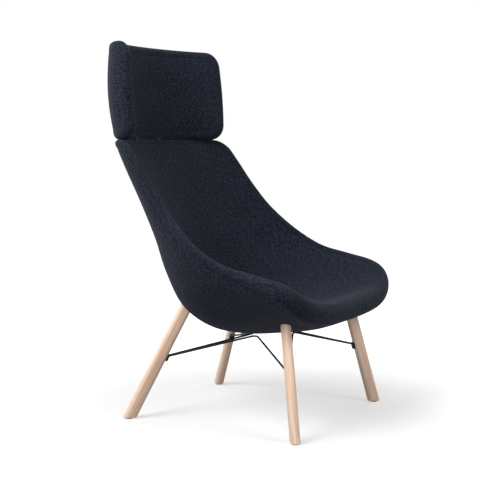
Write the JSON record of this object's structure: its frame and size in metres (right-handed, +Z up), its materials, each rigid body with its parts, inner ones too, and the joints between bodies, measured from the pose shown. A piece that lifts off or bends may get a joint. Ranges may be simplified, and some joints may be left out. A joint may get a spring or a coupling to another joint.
{
  "type": "acoustic high back lounge chair",
  "caption": "High back lounge chair: scooped dark wool shell with rolled rim, separate wrap-round headrest, splayed beech legs and bent black steel brace rods.",
  "frame": {"origin": "on the floor under the middle of the chair's overall width and depth", "axes": "+Z up, -Y towards the front of the seat, +X to the right seen from the front"},
  "size_m": [0.7474, 0.8182, 1.1709],
  "materials": {
    "upholstery": "dark charcoal blue-black wool, fine tight weave, matt",
    "plywood": "moulded beech plywood, bare, hidden in the upholstery",
    "legs": "light beech, fine straight grain, satin clear lacquer",
    "brace": "black powder coat, satin",
    "stays": "black powder coat, satin",
    "fixings": "zinc-plated steel",
    "glides": "grey pressed felt"
  },
  "bodies": {
    "root": {"shell_outer_cover": "upholstery", "shell_core": "plywood", "shell_inner_pad": "upholstery", "headrest_back_cover": "upholstery", "headrest_core": "plywood", "headrest_front_pad": "upholstery", "headrest_stay_left": "stays", "stay_bolt_left_1": "fixings", "stay_bolt_left_2": "fixings", "stay_bolt_left_3": "fixings", "stay_bolt_left_4": "fixings", "headrest_stay_right": "stays", "stay_bolt_right_1": "fixings", "stay_bolt_right_2": "fixings", "stay_bolt_right_3": "fixings", "stay_bolt_right_4": "fixings", "leg_front_left": "legs", "foot_glide_front_left": "glides", "leg_stud_front_left": "fixings", "leg_insert_front_left": "fixings", "brace_clip_front_left": "brace", "clip_screw_front_left": "brace", "leg_front_right": "legs", "foot_glide_front_right": "glides", "leg_stud_front_right": "fixings", "leg_insert_front_right": "fixings", "brace_clip_front_right": "brace", "clip_screw_front_right": "brace", "leg_rear_left": "legs", "foot_glide_rear_left": "glides", "leg_stud_rear_left": "fixings", "leg_insert_rear_left": "fixings", "brace_clip_rear_left": "brace", "clip_screw_rear_left": "brace", "leg_rear_right": "legs", "foot_glide_rear_right": "glides", "leg_stud_rear_right": "fixings", "leg_insert_rear_right": "fixings", "brace_clip_rear_right": "brace", "clip_screw_rear_right": "brace", "brace_rod_left": "brace", "brace_rod_right": "brace", "brace_rod_front": "brace", "brace_rod_rear": "brace"}
  },
  "joints": []
}
